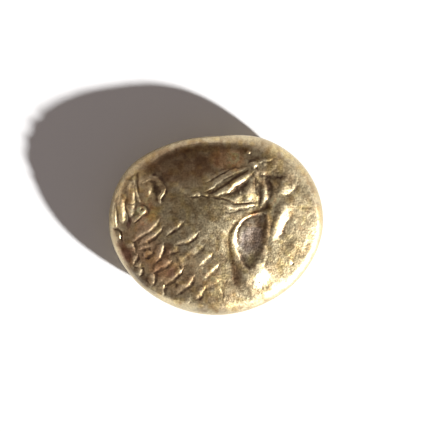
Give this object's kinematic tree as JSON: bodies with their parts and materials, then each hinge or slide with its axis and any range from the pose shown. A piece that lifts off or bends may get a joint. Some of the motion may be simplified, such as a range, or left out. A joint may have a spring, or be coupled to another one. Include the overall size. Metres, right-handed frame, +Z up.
{
  "type": "ancient gold coin",
  "caption": "Small thick struck coin of pale gold with a rounded oval edge, a lion's head with open jaws on the obverse and two square incuse punches on the reverse.",
  "frame": {"origin": "on the table under the middle of the coin's outline, with the coin lying on its reverse", "axes": "+Z up out of the obverse, +X the way the lion looks, +Y towards the top of its head"},
  "size_m": [0.013, 0.011, 0.0041],
  "materials": {
    "pale_gold": "worn pale gold with fine grain and brown dirt in the recesses"
  },
  "bodies": {
    "root": {"coin": "pale_gold"}
  },
  "joints": []
}
